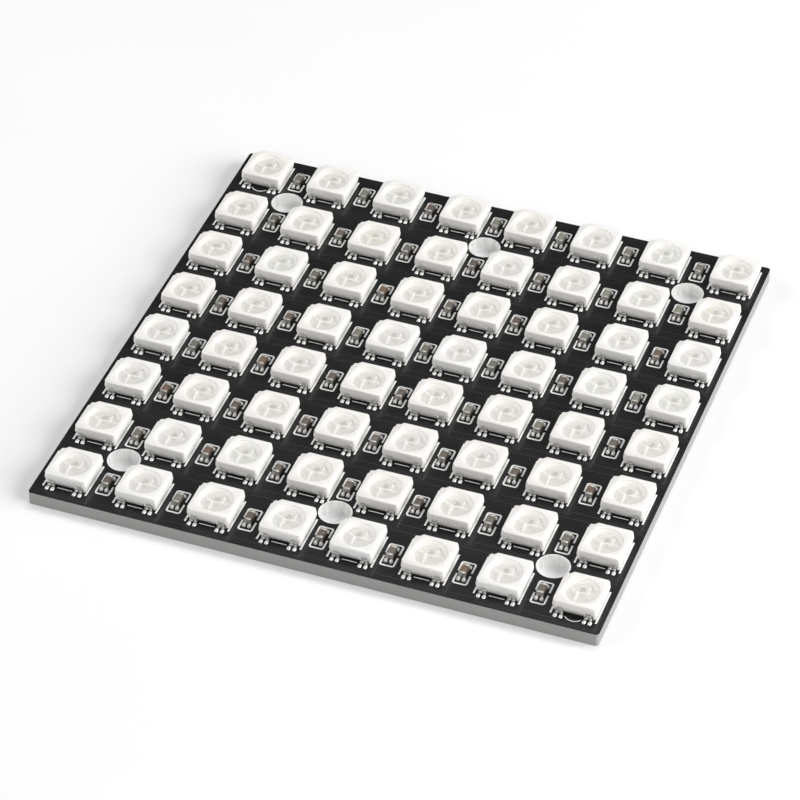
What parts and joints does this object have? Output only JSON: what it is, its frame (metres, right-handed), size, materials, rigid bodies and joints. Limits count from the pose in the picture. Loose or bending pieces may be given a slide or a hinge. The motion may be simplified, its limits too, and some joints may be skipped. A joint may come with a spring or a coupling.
{
  "type": "rgb led matrix panel",
  "caption": "Square black circuit board with a grid of surface-mount colour LEDs and small chip capacitors on its front, six plain mounting holes and wire pads on its back.",
  "frame": {"origin": "centre of the board's back face", "axes": "+X along the rows of LEDs, +Y towards the back edge, +Z out of the LED face"},
  "size_m": [0.065, 0.065, 0.0032],
  "materials": {
    "circuit_board": "black solder mask, bare laminate at the cut edges",
    "white_plastic": "satin moulded plastic",
    "led_resin": "clear to milky resin",
    "tinned_metal": "tinned, softly bright",
    "capacitor_ceramic": "fired ceramic"
  },
  "bodies": {
    "root": {"circuit_board": "circuit_board", "input_pads": "tinned_metal", "output_pads": "tinned_metal", "led_housings_row_1": "white_plastic", "led_housings_row_2": "white_plastic", "led_housings_row_3": "white_plastic", "led_housings_row_4": "white_plastic", "led_housings_row_5": "white_plastic", "led_housings_row_6": "white_plastic", "led_housings_row_7": "white_plastic", "led_housings_row_8": "white_plastic", "led_windows_row_1": "led_resin", "led_windows_row_2": "led_resin", "led_windows_row_3": "led_resin", "led_windows_row_4": "led_resin", "led_windows_row_5": "led_resin", "led_windows_row_6": "led_resin", "led_windows_row_7": "led_resin", "led_windows_row_8": "led_resin", "led_leads_row_1": "tinned_metal", "led_leads_row_2": "tinned_metal", "led_leads_row_3": "tinned_metal", "led_leads_row_4": "tinned_metal", "led_leads_row_5": "tinned_metal", "led_leads_row_6": "tinned_metal", "led_leads_row_7": "tinned_metal", "led_leads_row_8": "tinned_metal", "capacitor_bodies_row_1": "capacitor_ceramic", "capacitor_bodies_row_2": "capacitor_ceramic", "capacitor_bodies_row_3": "capacitor_ceramic", "capacitor_bodies_row_4": "capacitor_ceramic", "capacitor_bodies_row_5": "capacitor_ceramic", "capacitor_bodies_row_6": "capacitor_ceramic", "capacitor_bodies_row_7": "capacitor_ceramic", "capacitor_bodies_row_8": "capacitor_ceramic", "capacitor_terminals_row_1": "tinned_metal", "capacitor_terminals_row_2": "tinned_metal", "capacitor_terminals_row_3": "tinned_metal", "capacitor_terminals_row_4": "tinned_metal", "capacitor_terminals_row_5": "tinned_metal", "capacitor_terminals_row_6": "tinned_metal", "capacitor_terminals_row_7": "tinned_metal", "capacitor_terminals_row_8": "tinned_metal"}
  },
  "joints": []
}
